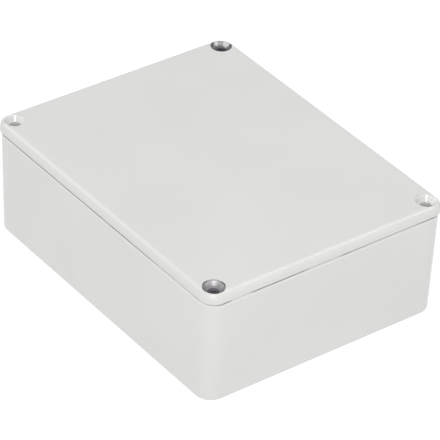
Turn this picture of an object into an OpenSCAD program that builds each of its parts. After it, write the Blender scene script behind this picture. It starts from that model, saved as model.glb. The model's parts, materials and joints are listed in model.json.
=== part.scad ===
// A die cast aluminium box: an open-topped base with four screw pillars, and a lid that sits on its
// rim and takes four countersunk screws. Both are castings, so every side leans a little, to come
// out of the mould, and every edge is rounded.
// Millimetres, +Z up. The origin is the middle of the flat underside.

/* [Body] */
// Width at the seam, along X
body_w = 94; // [70:1:200]
// Length at the seam, along Y
body_l = 120; // [70:1:250]
// Height with the lid on
body_h = 42; // [25:0.5:60]
// Radius of the base's upright corners, at the seam
corner_r = 6.75; // [6:0.25:10]
// Lean of every cast side, in degrees
draft = 1.25; // [0.5:0.25:2]
// Radius of the edge round the underside
bottom_r = 1; // [0.5:0.25:2]
// Radius of the two fine edges that meet at the seam
seam_r = 0.3; // [0.2:0.05:0.6]

/* [Inside] */
// Thickness of the side walls
wall = 2.3; // [1.8:0.1:2.5]
// Thickness of the floor
floor_t = 2.5; // [1.5:0.1:5]
// Radius where the walls and pillars run into the floor
floor_r = 1; // [0.5:0.25:1.5]

/* [Screw pillars] */
// Distance from the sides of the box to the middle of each screw
screw_inset = 5; // [4.7:0.1:7]
// Radius of each pillar, at the seam
pillar_r = 4.2; // [3.5:0.1:5]
// Bore that the screw cuts its thread in
thread_d = 2.9; // [2.5:0.1:3.3]
// Depth of that bore, down to its drill point
thread_depth = 14; // [8:1:18]
// Width of the bevel at its mouth
thread_bevel = 0.3; // [0.1:0.1:0.5]

/* [Lid] */
// Height of the lid's edge, from the seam to its top face
lid_edge_h = 3.7; // [3:0.1:5]
// Radius of the lid's upright corners, at the seam. They are sharper than the base's, so the lid
// stands out a little over each corner
lid_corner_r = 5.25; // [5:0.25:7]
// Radius of the edge round the top
lid_r = 2.25; // [1:0.25:2.5]
// Thickness of the plate inside the tongue
lid_t = 2.5; // [2:0.1:3]
// Depth of the tongue that locates the lid inside the walls
tongue_h = 1.8; // [1:0.1:3]
// Thickness of the tongue
tongue_t = 1.5; // [1:0.1:1.6]
// Gap between the tongue and the walls
tongue_gap = 0.3; // [0.1:0.05:0.3]
// Radius of the tongue's edges and of its root
tongue_r = 0.4; // [0.2:0.1:0.4]

/* [Screw holes] */
// Clearance hole for each screw
hole_d = 4; // [3.6:0.1:4.4]
// Diameter of the countersink at the top face
sink_d = 7.3; // [6:0.1:7.6]
// Angle of the countersink, in degrees
sink_angle = 90; // [82:1:90]
// Depth of the straight part above the cone
sink_land = 0.5; // [0.2:0.1:0.7]

/* [Hidden] */
$fn = 96;

// Height of the seam between the base and the lid
seam_z = body_h - lid_edge_h;
// Depth of the space inside, from the seam to the floor
inside_h = seam_z - floor_t;
// How far every cutter runs past the face that it opens
past = 0.5;
// How far a round edge stands proud of the leaning side, so that the two meet at a clean line
proud = 0.002;

// Each pillar blends into the walls with quarter turns that reach from its middle to the wall
blend_r = screw_inset - wall;
// The pillar's middle to the middle of each blend
blend_away = pillar_r + blend_r;

// How far a cast side has leaned over, h away from its wide end
function lean(h) = h * tan(draft);

// An edge's radius, kept under half of what the lean leaves of the turn that it follows
function edge_within(edge_r, reach, height) = min(edge_r, 0.45 * (reach - lean(height)));

// Section of a cast side: its wide end is at y = 0, its narrow end at height, and the side leans in
// between them. It reaches that far from x = 0 at the wide end. Its narrow edge is round, and so is
// its wide edge where wide_r is given.
module side_section(reach, height, narrow_edge_r, wide_r = 0) {
    narrow_r = edge_within(narrow_edge_r, reach, height);
    outward = [cos(draft), sin(draft)];
    wide_middle = [reach - lean(wide_r) - wide_r / cos(draft), wide_r];
    narrow_y = height - narrow_r;
    narrow_middle = [reach - lean(narrow_y) - narrow_r / cos(draft), narrow_y];
    polygon([
        [0, 0],
        [wide_middle.x, 0],
        wide_middle + max(wide_r - proud, 0) * outward,
        narrow_middle + (narrow_r - proud) * outward,
        [narrow_middle.x, height],
        [0, height],
    ]);
    translate(narrow_middle) intersection() {
        circle(narrow_r);
        translate([0, -narrow_r / 8]) square(2 * narrow_r);
    }
    if (wide_r > 0) translate(wide_middle) circle(wide_r);
}

// Runs a section along the four sides of a rectangle, facing outwards
module run_along_sides(half_w, half_l, length_w, length_l) {
    for (turn = [0, 180]) {
        rotate([0, 0, turn]) translate([half_w, length_l / 2, 0])
            rotate([90, 0, 0]) linear_extrude(length_l) children();
        rotate([0, 0, turn + 90]) translate([half_l, length_w / 2, 0])
            rotate([90, 0, 0]) linear_extrude(length_w) children();
    }
}

// Repeats its children in the four corners, that far in from the sides, with their +X and +Y
// pointing out of the box
module four_corners(inset) {
    for (x_side = [0, 1], y_side = [0, 1])
        mirror([x_side, 0, 0]) mirror([0, y_side, 0])
            translate([body_w / 2 - inset, body_l / 2 - inset, 0]) children();
}

// A box about the middle, standing on z = 0
module middle_box(half_w, half_l, height) {
    translate([-half_w, -half_l, 0]) cube([2 * half_w, 2 * half_l, height]);
}

// A solid block with the outline of the box, wide face down: the side's section runs along the four
// sides and turns round the four corners, each of radius turn_r
module cast_block(turn_r, height, narrow_r, wide_r) {
    half_w = body_w / 2 - turn_r;
    half_l = body_l / 2 - turn_r;
    middle_box(half_w, half_l, height);
    run_along_sides(half_w, half_l, 2 * half_w, 2 * half_l)
        side_section(turn_r, height, narrow_r, wide_r);
    four_corners(turn_r)
        rotate_extrude(angle = 90) side_section(turn_r, height, narrow_r, wide_r);
}

// A solid plug with the outline of the space inside, wide end down, that stays inset from the walls
// and pillars. One section runs along the walls, turns inwards round the blends and outwards round
// the pillars. The plug starts a little below z = 0, so it cuts or joins cleanly there.
module inside_plug(inset, depth, narrow_r) {
    reach = blend_r - inset + lean(past);
    height = depth + past;
    half_w = body_w / 2 - screw_inset;
    half_l = body_l / 2 - screw_inset;
    translate([0, 0, -past]) {
        difference() {
            middle_box(half_w, half_l, height);
            four_corners(screw_inset) translate([0, 0, -past])
                cylinder(r = blend_away, h = height + 2 * past);
        }
        run_along_sides(half_w, half_l, 2 * (half_w - blend_away), 2 * (half_l - blend_away))
            side_section(reach, height, narrow_r);
        four_corners(screw_inset) {
            rotate([0, 0, 180]) rotate_extrude(angle = 90)
                translate([blend_away, 0]) mirror([1, 0]) side_section(reach, height, narrow_r);
            translate([0, -blend_away, 0])
                rotate_extrude(angle = 90) side_section(reach, height, narrow_r);
            translate([-blend_away, 0, 0])
                rotate_extrude(angle = 90) side_section(reach, height, narrow_r);
        }
    }
}

// Bore in the top of a pillar, down from z = 0, with its drill point and the bevel at its mouth
module thread_bore() {
    radius = thread_d / 2;
    point_h = radius / tan(59);
    rotate_extrude() polygon([
        [0, -thread_depth - point_h],
        [radius, -thread_depth],
        [radius, -thread_bevel],
        [radius + thread_bevel + past, past],
        [0, past],
    ]);
}

// Clearance hole and countersink, down from the lid's top face at z = 0
module screw_hole() {
    hole_r = hole_d / 2;
    sink_r = sink_d / 2;
    cone_h = (sink_r - hole_r) / tan(sink_angle / 2);
    rotate_extrude() polygon([
        [0, -lid_edge_h - past],
        [hole_r, -lid_edge_h - past],
        [hole_r, -sink_land - cone_h],
        [sink_r, -sink_land],
        [sink_r, past],
        [0, past],
    ]);
}

// The base: leaning outer walls, a hollow that leans the same way, and a pillar in each corner
module base() {
    color("lightgray") translate([0, 0, seam_z]) difference() {
        mirror([0, 0, 1]) cast_block(corner_r, seam_z, bottom_r, seam_r);
        mirror([0, 0, 1]) inside_plug(0, inside_h, floor_r);
        four_corners(screw_inset) thread_bore();
    }
}

// The lid: a rounded plate, a tongue all round its underside and four countersunk holes
module lid() {
    color("gainsboro") translate([0, 0, seam_z]) difference() {
        union() {
            cast_block(lid_corner_r, lid_edge_h, lid_r, seam_r);
            mirror([0, 0, 1]) inside_plug(tongue_gap, tongue_h, tongue_r);
        }
        translate([0, 0, -tongue_h])
            inside_plug(tongue_gap + tongue_t, tongue_h + lid_edge_h - lid_t, tongue_r);
        translate([0, 0, lid_edge_h]) four_corners(screw_inset) screw_hole();
    }
}

base();
lid();
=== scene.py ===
# %% [markdown]
# # A painted die cast aluminium box
#
# The box is two castings: an open-topped base with a screw pillar in each corner, and a lid with
# four countersunk screw holes. Both come from the CAD model, and their shape is right as it is, so
# they stay. This lesson gives them the finish that the real ones have: grey satin paint outside,
# bare metal inside, and bare metal in two of the four countersinks. Then it lights them softly on
# a white table.

import bpy
import bmesh
import json
from math import cos, pi, radians, sin
from mathutils import Matrix, Vector


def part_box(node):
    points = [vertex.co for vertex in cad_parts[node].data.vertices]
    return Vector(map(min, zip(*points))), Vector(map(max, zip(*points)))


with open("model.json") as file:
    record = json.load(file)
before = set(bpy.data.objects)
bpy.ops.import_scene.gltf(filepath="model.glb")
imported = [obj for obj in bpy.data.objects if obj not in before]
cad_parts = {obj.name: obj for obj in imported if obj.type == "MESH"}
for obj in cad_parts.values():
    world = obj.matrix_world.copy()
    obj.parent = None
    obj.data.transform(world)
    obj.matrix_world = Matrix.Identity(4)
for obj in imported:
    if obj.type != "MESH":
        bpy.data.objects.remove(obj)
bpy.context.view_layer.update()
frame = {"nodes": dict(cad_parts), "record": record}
MM = 0.001

base = frame["nodes"]["base"]
lid = frame["nodes"]["lid"]
base_low, base_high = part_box("base")
lid_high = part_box("lid")[1]
print("width, length, height:", [round(size / MM, 2) for size in lid_high - base_low], "mm")

# %% [markdown]
# ## Where things are
#
# Every finish below is placed by its position on the box, so a few measures come first. The record
# that comes with the model gives the screw pattern. The base ends at the seam, and the lid's top
# face is the highest thing on the box.

# %% Measures
mounts = {mount["name"]: mount["dims"] for mount in frame["record"]["mounts"]}
screws = mounts["lid_screws"]
screw_x = screws["spacing_x_mm"] * MM / 2
screw_y = screws["spacing_y_mm"] * MM / 2
hole_r = screws["hole_r_mm"] * MM
sink_r = 3.65 * MM  # Radius of the countersinks at the top face
corner_r = 6.75 * MM  # Radius of the base's upright corners
half_w = base_high.x
half_l = base_high.y
seam_z = base_high.z
top_z = lid_high.z
print("seam at", round(seam_z / MM, 2), "mm up")
print("screws at", round(screw_x / MM, 2), "and", round(screw_y / MM, 2), "mm from the middle")

# %% [markdown]
# ## A few helpers for materials
#
# A material is a small network of nodes. Written out in full, each node takes four or five lines,
# so these helpers make a node in one line. An input is either a plain value or the output of
# another node.

# %% Helpers for numbers
def add_node(tree, kind, inputs, **settings):
    """Adds one node. Each input is a value or another node's output."""
    node = tree.nodes.new("ShaderNode" + kind)
    for name, value in settings.items():
        setattr(node, name, value)
    for name, value in inputs.items():
        if isinstance(value, bpy.types.NodeSocket):
            tree.links.new(value, node.inputs[name])
        else:
            node.inputs[name].default_value = value
    return node


def calc(tree, operation, a, b=0.0):
    """One sum on two numbers."""
    return add_node(tree, "Math", {0: a, 1: b}, operation=operation).outputs[0]


def product(tree, *factors):
    """All the numbers multiplied. For masks, 1 only where every one of them is 1."""
    result = factors[0]
    for factor in factors[1:]:
        result = calc(tree, "MULTIPLY", result, factor)
    return result


def outside_of(tree, mask):
    """1 where the mask is 0, and 0 where it is 1."""
    return calc(tree, "SUBTRACT", 1.0, mask)


def gap_between(tree, a, b):
    """How far apart two numbers are."""
    return calc(tree, "ABSOLUTE", calc(tree, "SUBTRACT", a, b))


print("helpers for numbers ready")

# %% [markdown]
# A position on the box is a vector, in metres, and more helpers take it apart. Patterns are worked
# out from it, so they stay the same size and in the same place from every side.

# %% Helpers for positions
def vector_calc(tree, operation, a, b=(0.0, 0.0, 0.0)):
    """One sum on two vectors. A length or a dot product comes out as a number."""
    node = add_node(tree, "VectorMath", {0: a, 1: b}, operation=operation)
    return node.outputs["Value" if operation in ("LENGTH", "DOT_PRODUCT") else "Vector"]


def along(tree, point, axis):
    """The point's distance from the origin along X, Y or Z."""
    return add_node(tree, "SeparateXYZ", {0: point}).outputs[axis]


def from_above(tree, point):
    """The point without its height, as it is seen from above."""
    return vector_calc(tree, "MULTIPLY", point, (1, 1, 0))


def folded(tree, point):
    """The point seen from above, folded into the corner where X and Y are above 0."""
    return from_above(tree, vector_calc(tree, "ABSOLUTE", point))


print("helpers for positions ready")

# %% [markdown]
# A mask is a number between 0 and 1 that says how much a point belongs to something. Masks blend
# colours and other values. Noise makes them uneven, as paint and metal are.

# %% Helpers for masks
# The Mix node has sockets for each kind of value. These are the numbers of those for colours
MIX_SHARE, MIX_A, MIX_B, MIX_RESULT = 0, 6, 7, 2


def soft_step(tree, value, low, high):
    """0 at low, 1 at high, and a smooth step between them. Low may be the larger one."""
    return add_node(tree, "MapRange", {"Value": value, "From Min": low, "From Max": high},
                    interpolation_type="SMOOTHSTEP").outputs["Result"]


def spread(tree, value, low, high):
    """Turns 0 to 1 into low to high."""
    return add_node(tree, "MapRange",
                    {"Value": value, "To Min": low, "To Max": high}).outputs["Result"]


def mix(tree, share, a, b):
    """Colour a where share is 0, and colour b where it is 1."""
    inputs = {MIX_SHARE: share, MIX_A: a, MIX_B: b}
    return add_node(tree, "Mix", inputs, data_type="RGBA").outputs[MIX_RESULT]


def near_place(tree, point, x, y, reach):
    """1 within half of reach of a place, seen from above, and 0 past reach. In millimetres."""
    off_place = vector_calc(tree, "SUBTRACT", from_above(tree, point), (x * MM, y * MM, 0))
    away = vector_calc(tree, "LENGTH", off_place)
    return soft_step(tree, away, reach * MM, 0.5 * reach * MM)


def noise(tree, point, grain, detail=2.0):
    """A smooth random pattern from 0 to 1, whose lumps are about grain across, in metres."""
    inputs = {"Vector": point, "Scale": 1 / grain, "Detail": detail}
    return add_node(tree, "TexNoise", inputs).outputs[0]


print("helpers for masks ready")

# %% [markdown]
# ## Paint outside, bare metal inside
#
# Such a box is painted after it is closed, with the lid held on. So the paint covers what can be
# seen from outside, and the inside stays bare cast metal. So does the rim, where the lid lies on
# it: only a little paint creeps in between. Painting faces one by one would be slow, and the CAD
# faces are only loose triangles. A mask is better: a rounded block a little smaller than the box,
# worked out from the position. Points within it are inside.

# %% Mask for the inside
SIDE_SKIN = 2 * MM  # Nearer than this to a side is outside, so the walls' outer faces are painted
FLOOR_SKIN = 1.2 * MM  # The same for the underside
INSIDE_TOP = seam_z + 1.6 * MM  # Just past the lower face of the lid's plate
CREEP = 0.6 * MM  # How far the paint creeps in between lid and base
RIM_HEIGHT = 0.05 * MM  # The rim lies within this of the seam's height


def within_sides(tree, point, inset):
    """1 further in than inset from the sides of the box, seen from above, 0 nearer to them."""
    core = (half_w - corner_r, half_l - corner_r, 0)
    past_core = vector_calc(tree, "SUBTRACT", folded(tree, point), core)
    from_core = vector_calc(tree, "LENGTH", vector_calc(tree, "MAXIMUM", past_core))
    return calc(tree, "LESS_THAN", from_core, corner_r - inset)


def inside_mask(tree, point):
    """1 inside the walls, floor and lid, and where the lid lies on the base's rim. 0 outside."""
    height = along(tree, point, "Z")
    above = calc(tree, "GREATER_THAN", height, FLOOR_SKIN)
    below = calc(tree, "LESS_THAN", height, INSIDE_TOP)
    room = product(tree, within_sides(tree, point, SIDE_SKIN), above, below)
    at_seam = calc(tree, "LESS_THAN", gap_between(tree, height, seam_z), RIM_HEIGHT)
    rim = product(tree, within_sides(tree, point, CREEP), at_seam)
    return calc(tree, "MAXIMUM", room, rim)


print("bare inside from", round(FLOOR_SKIN / MM, 2), "to", round(INSIDE_TOP / MM, 2), "mm up")

# %% [markdown]
# ## Which screw hole is which
#
# Two screws held the lid while the box was painted, in opposite corners. Their heads kept the
# paint off, so those two countersinks are machined metal. The spray went into the other two.
# Folding the position into one corner, with its absolute value, measures all four holes at once.
# The product of x and y then tells the two diagonals apart.

# %% Where a point lies in its screw hole
ACROSS = (0.79, -0.61, 0)  # In the folded corner: square to the line from the box's middle
RIGHTWARDS = (0.79, 0.61, 0)  # In the folded corner: to the right, seen from the front corner
FLANK_FADE = (0.4 * sink_r, 0.9 * sink_r)


def screw_offset(tree, point):
    """From the axis of the nearest screw hole to the point, seen from above."""
    return vector_calc(tree, "SUBTRACT", folded(tree, point), (screw_x, screw_y, 0))


def had_screw(tree, point):
    """1 in the two corners where a screw held the lid, 0 in the other two."""
    x_times_y = product(tree, along(tree, point, "X"), along(tree, point, "Y"))
    return calc(tree, "GREATER_THAN", x_times_y, 0.0)


def flank_mask(tree, offset):
    """1 on the two opposite flanks of a countersink, 0 between them."""
    sideways = calc(tree, "ABSOLUTE", vector_calc(tree, "DOT_PRODUCT", offset, ACROSS))
    return soft_step(tree, sideways, *FLANK_FADE)


def lit_side_share(tree, point, offset):
    """0 on the shaded left of a painted countersink and 1 on its lit right, seen from the front.
    """
    # Folding turned the left corner round, and the sign of X turns it back
    sign = calc(tree, "SIGN", along(tree, point, "X"))
    to_the_right = product(tree, vector_calc(tree, "DOT_PRODUCT", offset, RIGHTWARDS), sign)
    return soft_step(tree, to_the_right, -sink_r, sink_r)


print("countersinks", round(2 * sink_r / MM, 2), "mm across")

# %% [markdown]
# ## Where the paint ends
#
# On top, the paint rolls a little over the rim of each bare countersink and ends in a ragged line,
# less far down on the flanks than between them. The back one also has two pale patches of paint
# colour on its rim. A mask that measures depth below the top face follows such an edge, and fine
# noise makes it ragged.

# %% Masks for the countersinks
SINK_REACH = sink_r + 0.1 * MM
RIM_PAINT = 0.43 * MM  # How far down the rim the paint reaches between the flanks
FLANK_PAINT = 0.07 * MM  # The same on the flanks
EDGE_RAGGED = 0.05 * MM  # How much that edge of the paint wanders, up and down
EDGE_GRAIN = 0.4 * MM
EDGE_SOFTNESS = 0.03 * MM
SINK_START = 0.4 * MM  # Nearer than this to the seam, a hole's wall counts as inside
PALE_PATCHES = ((45.4, 56.2, 1.5), (42.4, 58.5, 0.9))  # x, y and reach, in millimetres
PATCH_RAGGED = 0.4 * MM
PATCH_GRAIN = 0.8 * MM


def sink_mask(tree, point, distance, flank):
    """1 in the countersinks and their holes, below the end of the paint on the rim."""
    ragged = spread(tree, noise(tree, point, EDGE_GRAIN), EDGE_RAGGED, -EDGE_RAGGED)
    limit = calc(tree, "ADD", ragged, spread(tree, flank, RIM_PAINT, FLANK_PAINT))
    height = along(tree, point, "Z")
    depth = calc(tree, "SUBTRACT", calc(tree, "SUBTRACT", top_z, height), limit)
    near = calc(tree, "LESS_THAN", distance, SINK_REACH)
    deep = soft_step(tree, depth, -EDGE_SOFTNESS, EDGE_SOFTNESS)
    in_lid = calc(tree, "GREATER_THAN", height, seam_z + SINK_START)
    return product(tree, near, deep, in_lid)


def pale_patch_mask(tree, point):
    """1 on two pale patches of paint colour on the rim of the back countersink."""
    shift = spread(tree, noise(tree, point, PATCH_GRAIN), -PATCH_RAGGED, PATCH_RAGGED)
    shift = add_node(tree, "CombineXYZ", {0: shift, 1: shift}).outputs[0]
    moved = vector_calc(tree, "ADD", point, shift)
    first, second = (near_place(tree, moved, *place) for place in PALE_PATCHES)
    return calc(tree, "MAXIMUM", first, second)


print(len(PALE_PATCHES), "splashes")

# %% [markdown]
# In the two open holes the spray went further: over the countersink, down the hole, onto the top
# of the pillar below and into the mouth of its bore. It thins out with depth, so a soft step over
# the height ends it.

# %% Mask for the spray down the open holes
SPRAY_R = hole_r + 0.3 * MM
SPRAY_FADE = (seam_z - 4.5 * MM, seam_z - 3.0 * MM)  # Heights between which the spray thins out
SPRAY_RAGGED = 1.0 * MM
SPRAY_GRAIN = 1.5 * MM


def sprayed_hole_mask(tree, point, distance, screwed):
    """1 where the spray reached down an open hole."""
    ragged = spread(tree, noise(tree, point, SPRAY_GRAIN), -SPRAY_RAGGED, SPRAY_RAGGED)
    height = calc(tree, "ADD", along(tree, point, "Z"), ragged)
    near = calc(tree, "LESS_THAN", distance, SPRAY_R)
    return product(tree, outside_of(tree, screwed), near, soft_step(tree, height, *SPRAY_FADE))


print("spray down to", round(SPRAY_FADE[0] / MM, 2), "mm")

# %% [markdown]
# ## Threads in the pillars
#
# The screws cut their own thread in the pillars' bores. Modelled as geometry, a thread this fine
# would cost thousands of faces in four holes that are mostly out of sight. A bump does it: a wave
# that climbs with height and turns once round the bore for each pitch. The cut metal down there is
# painted dark, as painted shade, because little light gets in and out.

# %% Thread pattern
THREAD_PITCH = 0.6 * MM
THREAD_REACH = hole_r + 0.1 * MM  # The painted shade reaches out to here, over the bevel and the ring round each bore
THREAD_TOP = seam_z + 0.02 * MM


def thread_mask(tree, point, distance):
    """1 on the wall of the bores, their bevels and the ring round each."""
    near = calc(tree, "LESS_THAN", distance, THREAD_REACH)
    return product(tree, near, calc(tree, "LESS_THAN", along(tree, point, "Z"), THREAD_TOP))


def thread_wave(tree, point, offset):
    """The wave of the thread, from -1 to 1."""
    angle = calc(tree, "ARCTAN2", along(tree, offset, "Y"), along(tree, offset, "X"))
    turns = product(tree, along(tree, point, "Z"), 2 * pi / THREAD_PITCH)
    return calc(tree, "SINE", calc(tree, "ADD", turns, angle))


print("thread pitch", round(THREAD_PITCH / MM, 2), "mm")

# %% [markdown]
# ## The seam
#
# Lid and base meet in a fine groove. The paint bridges it in some places and leaves it open in
# others, where a dark line is painted in: painted shade in the open groove. So a mask follows the
# height of the seam, and slow noise along the box decides how open it is. A few places are more
# closed than the noise makes them. At the corners the lid stands out over the base and hides the
# groove, and the painted dark line lies lower, as painted shadow under the lid. Just below the
# seam
# a fine pale line is painted in: a painted highlight where the base's top edge catches the light.

# %% Masks for the seam
SEAM_FADE = (0.34 * MM, 0.10 * MM)  # The line is gone, and full, this far from its middle
SIDE_LINE_Z = seam_z - 0.05 * MM  # Height of the line's middle along the sides
CORNER_LINE_Z = seam_z - 0.55 * MM  # The same under the corners of the lid
LINE_CORNER = (47, 60, 7)  # x, y and reach of the lower line, in millimetres, in all four corners
OPEN_GRAIN = 5 * MM
OPEN_DETAIL = 3.0
OPEN_SHARE = (0.46, 0.88)  # How open the noise leaves the seam
OPEN_LEAST, OPEN_MOST = 0.1, 1.1
SEAM_HIGHLIGHT_Z = seam_z - 0.9 * MM
SEAM_HIGHLIGHT_FADE = (0.5 * MM, 0.1 * MM)
# x, y and reach in millimetres, and how much more open the seam is there, or less
SEAM_PLACES = (
    (-45.5, -57, 4, -0.25),
    (-35, -60, 5, -0.6),
    (-3, -60, 9, -0.45),
    (12, -60, 7, -0.2),
    (26, -60, 14, -0.3),
    (-47, -44, 17, -0.4),
)


def seam_shade_mask(tree, point):
    """1 where painted shade goes in the open groove, 0 away from it."""
    corner = near_place(tree, vector_calc(tree, "ABSOLUTE", point), *LINE_CORNER)
    middle_z = spread(tree, corner, SIDE_LINE_Z, CORNER_LINE_Z)
    line = soft_step(tree, gap_between(tree, along(tree, point, "Z"), middle_z), *SEAM_FADE)
    waver = noise(tree, from_above(tree, point), OPEN_GRAIN, OPEN_DETAIL)
    open_share = spread(tree, waver, *OPEN_SHARE)
    for x, y, reach, change in SEAM_PLACES:
        place = product(tree, near_place(tree, point, x, y, reach), change)
        open_share = calc(tree, "ADD", open_share, place)
    open_share = calc(tree, "MINIMUM", open_share, OPEN_MOST)
    return product(tree, line, calc(tree, "MAXIMUM", open_share, OPEN_LEAST))


def seam_highlight_mask(tree, point):
    """1 on the painted highlight just below the seam."""
    return soft_step(tree, gap_between(tree, along(tree, point, "Z"), SEAM_HIGHLIGHT_Z), *SEAM_HIGHLIGHT_FADE)


print(len(SEAM_PLACES), "places along the seam")

# %% [markdown]
# ## Darker places on the bare metal
#
# The bare metal of the two countersinks is painted darker on the flanks, on the rim and deep down,
# and more in the back countersink than in the front one. Deep down and on the rim's wall this is
# painted shade. Each of these is a mask of its own, and the strongest one counts.

# %% Mask for the stains
DEEP_FADE = (sink_r - 0.2 * MM, hole_r + 0.4 * MM)
# How strong each darkening is: in the front countersink, and in the back one
FLANK_DARKENING = (0.3, 0.9)
DEEP_SHADE = (0.35, 0.7)
BACK_DARKENING = 0.3  # The least in the back one
RIM_SHADE = (0.0, 0.85)  # Between the flanks, and on them


def stain_mask(tree, masks, distance):
    """How much darker the bare metal of a countersink is painted, partly as painted shade."""
    on_flanks = product(tree, masks["flank"], spread(tree, masks["back"], *FLANK_DARKENING))
    on_rim = product(tree, masks["rim"], spread(tree, masks["flank"], *RIM_SHADE))
    low_down = product(tree, soft_step(tree, distance, *DEEP_FADE),
                       spread(tree, masks["back"], *DEEP_SHADE))
    in_back = product(tree, masks["back"], BACK_DARKENING)
    strongest = calc(tree, "MAXIMUM", calc(tree, "MAXIMUM", on_flanks, on_rim), low_down)
    return calc(tree, "MAXIMUM", strongest, in_back)


print("stains up to", max(*FLANK_DARKENING, *DEEP_SHADE, *RIM_SHADE))

# %% [markdown]
# ## All the masks of a point
#
# The finishes below all ask the same questions of a point: is it in a countersink, and a bare or a
# painted one? Is it on the rim, in the hole, inside the box? So one function answers them and
# hands the masks over by name. The order matters: spray on a face makes it painted again, and what
# is closed in between lid and base has no dark seam line.

# %% Masks by name
RIM_START = sink_r - 0.1 * MM
# The hole's dark tone starts a little outside its edge: painted shade on the cone round the hole
HOLE_FADE = (hole_r + 0.55 * MM, hole_r + 0.35 * MM)


def masks_by_name(tree, where, offset, distance):
    """Every mask that the colour, the gloss and the relief need."""
    screwed = had_screw(tree, where)
    flank = flank_mask(tree, offset)
    sink = sink_mask(tree, where, distance, flank)
    bare_sinks = product(tree, sink, screwed, outside_of(tree, pale_patch_mask(tree, where)))
    unsprayed = outside_of(tree, sprayed_hole_mask(tree, where, distance, screwed))
    inside = product(tree, inside_mask(tree, where), unsprayed)
    closed_in = product(tree, inside, calc(tree, "GREATER_THAN", distance, THREAD_REACH))
    masks = {
        "flank": flank,
        "back": calc(tree, "GREATER_THAN", along(tree, where, "Y"), 0.0),
        "rim": product(tree, sink, calc(tree, "GREATER_THAN", distance, RIM_START)),
        "painted_sinks": product(tree, sink, outside_of(tree, screwed)),
        "bare_sinks": bare_sinks,
        "bare_holes": product(tree, bare_sinks, soft_step(tree, distance, *HOLE_FADE)),
        "bare": calc(tree, "MAXIMUM", inside, bare_sinks),
        "threads": product(tree, thread_mask(tree, where, distance), unsprayed),
        "closed_in": closed_in,
        "seam": product(tree, seam_shade_mask(tree, where), outside_of(tree, closed_in)),
    }
    masks["stain"] = stain_mask(tree, masks, distance)
    return masks


print("masks ready")

# %% [markdown]
# ## Colours
#
# The paint is a smooth light grey, a touch warm. It isn't one flat colour: its shade drifts a
# little across the casting. In the two painted countersinks, light and shade are painted into it:
# painted light on the rim and on the right-hand wall, and painted shade on the left-hand wall.
# Bare cast metal is light, and cut metal is darker. The numbers are red, green, blue and opacity,
# as
# Blender counts light.

# %% Colours of paint and metal
PAINT_LIGHT = (0.705, 0.705, 0.690, 1)
PAINT_DARK = (0.685, 0.686, 0.670, 1)
# Painted highlight under the seam, where the base's top edge catches the light
PAINT_SEAM_HIGHLIGHT = (0.755, 0.755, 0.740, 1)
# Painted light and painted shade on the right and left walls of the painted countersinks
PAINT_LIT_SIDE = (0.79, 0.79, 0.78, 1)
PAINT_SHADED_SIDE = (0.63, 0.63, 0.62, 1)
# Painted light on the rims of the painted countersinks, whose walls would be in shade
PAINT_LIT_RIM = (0.88, 0.88, 0.87, 1)
CAST_LIGHT = (0.70, 0.70, 0.72, 1)
CAST_DARK = (0.50, 0.50, 0.52, 1)
CUT_LIGHT = (0.44, 0.43, 0.44, 1)
CUT_DARK = (0.30, 0.29, 0.30, 1)
# Darkest cut metal, partly painted shade deep down and on the rims
CUT_DARKEST = (0.13, 0.125, 0.135, 1)
CUT_HOLE = (0.28, 0.265, 0.29, 1)
# Painted shade in the bores
THREAD_SHADE = (0.12, 0.115, 0.125, 1)
# Painted shade in the open seam
SEAM_SHADE = (0.06, 0.06, 0.06, 1)
print("paint from", PAINT_DARK[:3], "to", PAINT_LIGHT[:3])

# %% [markdown]
# The colours are laid over each other: metal first, then the paint where the masks leave some, as
# the real layers are, and over them painted shade in the threads and in the open seam. Slow noise
# makes the paint drift, and noise with a grain of half a millimetre mottles the metal.

# %% Layers of colour
DRIFT_GRAIN = 40 * MM
DRIFT_FADE = (0.3, 0.7)
METAL_GRAIN = 0.5 * MM
METAL_DETAIL = 3.0
SEAM_SHADE_STRENGTH = 0.9


def paint_colour(tree, where, point, offset, masks):
    """Grey paint; painted light under the seam, and light and shade in two countersinks."""
    drift = soft_step(tree, noise(tree, point, DRIFT_GRAIN), *DRIFT_FADE)
    paint = mix(tree, drift, PAINT_DARK, PAINT_LIGHT)
    paint = mix(tree, seam_highlight_mask(tree, where), paint, PAINT_SEAM_HIGHLIGHT)
    in_sinks = mix(tree, lit_side_share(tree, where, offset), PAINT_SHADED_SIDE, PAINT_LIT_SIDE)
    in_sinks = mix(tree, masks["rim"], in_sinks, PAINT_LIT_RIM)
    return mix(tree, masks["painted_sinks"], paint, in_sinks)


def metal_colour(tree, point, masks):
    """Bare metal: as it was cast, or cut by the countersink tool and painted darker in places."""
    mottle = noise(tree, point, METAL_GRAIN, METAL_DETAIL)
    cast = mix(tree, mottle, CAST_DARK, CAST_LIGHT)
    cut = mix(tree, mottle, CUT_DARK, CUT_LIGHT)
    cut = mix(tree, masks["stain"], cut, CUT_DARKEST)
    in_hole = mix(tree, masks["back"], CUT_HOLE, CUT_DARKEST)
    cut = mix(tree, masks["bare_holes"], cut, in_hole)
    return mix(tree, masks["bare_sinks"], cast, cut)


def casting_colour(tree, where, point, offset, masks):
    """Paint or bare metal, then painted shade in the threads and in the open seam over them."""
    paint = paint_colour(tree, where, point, offset, masks)
    colour = mix(tree, masks["bare"], paint, metal_colour(tree, point, masks))
    colour = mix(tree, masks["threads"], colour, THREAD_SHADE)
    return mix(tree, product(tree, masks["seam"], SEAM_SHADE_STRENGTH), colour, SEAM_SHADE)


print("layers of colour ready")

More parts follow.
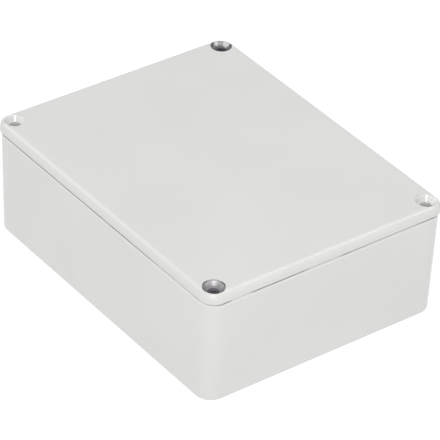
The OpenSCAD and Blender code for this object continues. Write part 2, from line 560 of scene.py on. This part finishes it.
# %% [markdown]
# ## Gloss and relief
#
# Satin paint reflects softly, and its gloss varies a little from place to place. Its roughness
# stays below about 0.27 on the flat faces, because noise that wavered across that value came out
# of Blender's denoiser as blotches. Where the spray pooled in the painted countersinks, it dried
# glossier. Bare metal scatters light more, and most in the threads. The relief is a bump: the fine
# orange peel of sprayed paint all over, the rings that the cutter left in the bare countersinks,
# and the threads.

# %% Roughness and bump
SATIN = (0.22, 0.268)
SATIN_GRAIN = 9 * MM
THREADS_ROUGHER = 0.4
SINKS_ROUGHER = (0.22, 0.37)  # Front and back countersink
CAST_ROUGHER = 0.22
PAINTED_SINKS_SMOOTHER = 0.07
PEEL_GRAIN = 0.9 * MM
RING_PITCH = 0.12 * MM
THREAD_WEIGHT = 12.0  # How much deeper the threads are than the orange peel
BUMP_STRENGTH = 0.35
BUMP_HEIGHT = 0.01 * MM


def roughness(tree, point, masks):
    """How rough the surface is, from satin paint to scraped threads."""
    satin = spread(tree, noise(tree, point, SATIN_GRAIN), *SATIN)
    in_threads = product(tree, masks["threads"], THREADS_ROUGHER)
    in_sinks = product(tree, masks["bare_sinks"], spread(tree, masks["back"], *SINKS_ROUGHER))
    in_paint = product(tree, masks["painted_sinks"], PAINTED_SINKS_SMOOTHER)
    rough = calc(tree, "ADD", calc(tree, "ADD", satin, in_threads), in_sinks)
    rough = calc(tree, "SUBTRACT", rough, in_paint)
    return calc(tree, "ADD", rough, product(tree, masks["closed_in"], CAST_ROUGHER))


def relief(tree, where, point, offset, distance, masks):
    """Orange peel, cutter rings and threads, as one bump."""
    peel = noise(tree, point, PEEL_GRAIN)
    ring_wave = calc(tree, "SINE", product(tree, distance, 2 * pi / RING_PITCH))
    rings = product(tree, masks["bare_sinks"], ring_wave)
    threads = product(tree, thread_wave(tree, where, offset), THREAD_WEIGHT, masks["threads"])
    height = calc(tree, "ADD", peel, calc(tree, "ADD", rings, threads))
    bump = {"Height": height, "Strength": BUMP_STRENGTH, "Distance": BUMP_HEIGHT}
    return add_node(tree, "Bump", bump).outputs[0]


print("roughness of the paint from", SATIN[0], "to", SATIN[1])

# %% [markdown]
# ## One material for paint and metal
#
# All of it is one shader, and the masks choose between paint and metal. The seed moves the noise
# on the lid away from that on the base, so that no pattern runs across the seam. The masks keep
# the true position. Holes and threads are left without metallic shine: they are small and deep,
# and a mirror there would catch the lamps.

# %% Paint and metal in one material
def painted_casting(name, seed):
    """Grey satin paint over a casting, with its inside and two of its screw holes left bare."""
    material = bpy.data.materials.new(name)
    material.use_nodes = True
    tree = material.node_tree
    tree.nodes.clear()
    where = add_node(tree, "TexCoord", {}).outputs["Object"]
    point = add_node(tree, "Mapping", {"Vector": where, "Location": (seed, seed, 0)}).outputs[0]
    offset = screw_offset(tree, where)
    distance = vector_calc(tree, "LENGTH", offset)
    masks = masks_by_name(tree, where, offset, distance)
    dull = calc(tree, "MAXIMUM", masks["bare_holes"], masks["threads"])
    shader = add_node(tree, "BsdfPrincipled", {
        "Base Color": casting_colour(tree, where, point, offset, masks),
        "Metallic": calc(tree, "SUBTRACT", masks["bare"], dull),
        "Roughness": roughness(tree, point, masks),
        "Normal": relief(tree, where, point, offset, distance, masks)})
    add_node(tree, "OutputMaterial", {"Surface": shader.outputs[0]})
    print(name, "has", len(tree.nodes), "nodes")
    return material


def put_on(node, finish):
    """Gives every material slot of a CAD node the finish."""
    for slot in node.material_slots:
        slot.material = finish
    print(finish.name, "is on", node.name)


put_on(base, painted_casting("painted_casting_finish", seed=0.30))
put_on(lid, painted_casting("painted_lid_finish", seed=0.70))

# %% [markdown]
# ## What the eye sees, and what lights the box
#
# The table and the air round the box are to look white, yet they mustn't flood the box with light.
# Blender can tell the two apart. A ray that comes straight from the camera, or from it by way of a
# glossy or a clear surface, shows what the eye sees. All other rays carry light from thing to
# thing. The table and the world both use this.

# %% Rays that show, and rays that light
def seen_directly(tree):
    """1 for what the camera sees, also in gloss and through glass, 0 for light on things."""
    rays = add_node(tree, "LightPath", {}).outputs
    seen = calc(tree, "MAXIMUM", rays["Is Camera Ray"], rays["Is Glossy Ray"])
    return calc(tree, "MAXIMUM", seen, rays["Is Transmission Ray"])


print("helper for rays ready")

# %% [markdown]
# ## The table
#
# The box stands on a wide white table, lit from below as a product table is. Lit white paint never
# quite renders as pure white, so where the eye sees the table, it gives off most of its white
# itself, and what it reflects keeps a soft shadow of the box. For the light that it sends up
# against the sides of the box, it glows less.

# %% A white table
TABLE_RADIUS = 3.0
SEEN_PAPER, SEEN_GLOW = 0.30, 0.80
LIGHTING_PAPER, LIGHTING_GLOW = 0.45, 0.45


def glowing_paper(tree, grey, glow):
    """White paper that reflects a share of the light on it and adds a glow of its own."""
    paper = add_node(tree, "BsdfDiffuse", {"Color": (grey, grey, grey, 1)})
    light = add_node(tree, "Emission", {"Color": (1, 1, 1, 1), "Strength": glow})
    return add_node(tree, "AddShader", {0: paper.outputs[0], 1: light.outputs[0]}).outputs[0]


def white_table():
    """A wide disc just under the box."""
    shape = bmesh.new()
    bmesh.ops.create_circle(shape, cap_ends=True, segments=96, radius=TABLE_RADIUS)
    mesh = bpy.data.meshes.new("table")
    shape.to_mesh(mesh)
    shape.free()
    table = bpy.data.objects.new("table", mesh)
    bpy.context.scene.collection.objects.link(table)
    material = bpy.data.materials.new("white_table")
    material.use_nodes = True
    tree = material.node_tree
    tree.nodes.clear()
    lighting = glowing_paper(tree, LIGHTING_PAPER, LIGHTING_GLOW)
    seen = glowing_paper(tree, SEEN_PAPER, SEEN_GLOW)
    either = add_node(tree, "MixShader", {0: seen_directly(tree), 1: lighting, 2: seen})
    add_node(tree, "OutputMaterial", {"Surface": either.outputs[0]})
    mesh.materials.append(material)
    return table


table = white_table()
print("table", len(table.data.vertices), "points")

# %% [markdown]
# ## The light tent
#
# Such a box is shown in a light tent: even white light from all round. Panels of cloth with lamps
# behind them would do it, but the world gives the same light without noise. To the eye the tent is
# pure white, and the light that it sheds on the box is less than that.

# %% The world as a light tent
TENT_LIGHT, TENT_WHITE = 0.574, 1.0

world = bpy.data.worlds.new("light_tent")
bpy.context.scene.world = world
world.use_nodes = True
tent = world.node_tree
tent.nodes.clear()
strength = spread(tent, seen_directly(tent), TENT_LIGHT, TENT_WHITE)
tent_light = add_node(tent, "Background", {"Color": (1, 1, 1, 1), "Strength": strength})
add_node(tent, "OutputWorld", {"Surface": tent_light.outputs[0]})
print("tent light", TENT_LIGHT)

# %% [markdown]
# ## Lamps
#
# Four square lamps add what the tent can't. One large and low in front lifts the corner that faces
# it, and a small one above it gives the glints in the countersinks. One behind on the left and one
# on the right draw the pale lines along the lid's rounded edges. Three have a slight tint, as real
# lamps do. A lamp's watts say little about how bright the box gets, so each is set by the level
# that it adds to a white face, and the helper works out the watts.

# %% Four soft lamps
# Watts that add a level of 1 to a white face a metre away, which is about pi squared
WATTS_PER_LEVEL = 9.87

middle = Vector((0, 0, top_z / 2))


def soft_lamp(name, azimuth, elevation, distance, size, level, colour=(1, 1, 1)):
    """A square lamp aimed at the box. Level is how much it adds to a face turned towards it."""
    turn, rise = radians(azimuth), radians(elevation)
    towards = Vector((-sin(turn) * cos(rise), -cos(turn) * cos(rise), sin(rise)))
    lamp = bpy.data.lights.new(name, "AREA")
    lamp.shape = "SQUARE"
    lamp.size = size
    lamp.energy = level * WATTS_PER_LEVEL * distance ** 2
    lamp.color = colour
    holder = bpy.data.objects.new(name, lamp)
    holder.location = middle + towards * distance
    holder.rotation_euler = (-towards).to_track_quat("-Z", "Y").to_euler()
    bpy.context.scene.collection.objects.link(holder)
    print(name, round(lamp.energy, 2), "W")


soft_lamp("front_lamp", azimuth=42, elevation=25, distance=1.3, size=0.9, level=0.192,
          colour=(1.0, 0.96, 1.0))
soft_lamp("glint_lamp", azimuth=38, elevation=55, distance=1.2, size=0.16, level=0.28)
soft_lamp("left_lamp", azimuth=150, elevation=36, distance=1.3, size=0.44, level=0.098,
          colour=(0.975, 1.0, 0.92))
soft_lamp("right_lamp", azimuth=300, elevation=51, distance=1.3, size=0.42, level=0.110,
          colour=(0.94, 0.95, 1.0))

# %% [markdown]
# ## Camera
#
# A long lens from about a metre away, looking down at 35 degrees over the front corner, and turned
# a little about its own axis. The camera's three directions are worked out first, and then its
# place: back along the line of sight from the middle of the box, and a little to the side and
# down, so that the box sits well in the frame.

# %% Camera
azimuth, elevation, roll = radians(37.9773), radians(35.0624), radians(2.6983)
BACK, SIDEWAYS, DOWN = 1.05132, 0.0015463, 0.0023662  # In metres, from the middle of the box
FOCAL_LENGTH = 263.4418
SENSOR_WIDTH = 36

sight = Vector((sin(azimuth) * cos(elevation), cos(azimuth) * cos(elevation), -sin(elevation)))
level = Vector((cos(azimuth), -sin(azimuth), 0))
upright = level.cross(sight)
right = cos(roll) * level + sin(roll) * upright
up = -sin(roll) * level + cos(roll) * upright

lens = bpy.data.cameras.new("camera")
lens.lens = FOCAL_LENGTH
lens.sensor_width = SENSOR_WIDTH
camera = bpy.data.objects.new("camera", lens)
place = middle - sight * BACK + right * SIDEWAYS - up * DOWN
turned = Matrix((right, up, -sight)).transposed().to_4x4()
camera.matrix_world = Matrix.Translation(place) @ turned
bpy.context.scene.collection.objects.link(camera)
bpy.context.scene.camera = camera
print("camera at", [round(v, 3) for v in place])

# %% [markdown]
# ## Finish
#
# The last line sets the view transform to Standard.

# %% Finish
bpy.context.scene.view_settings.view_transform = "Standard"
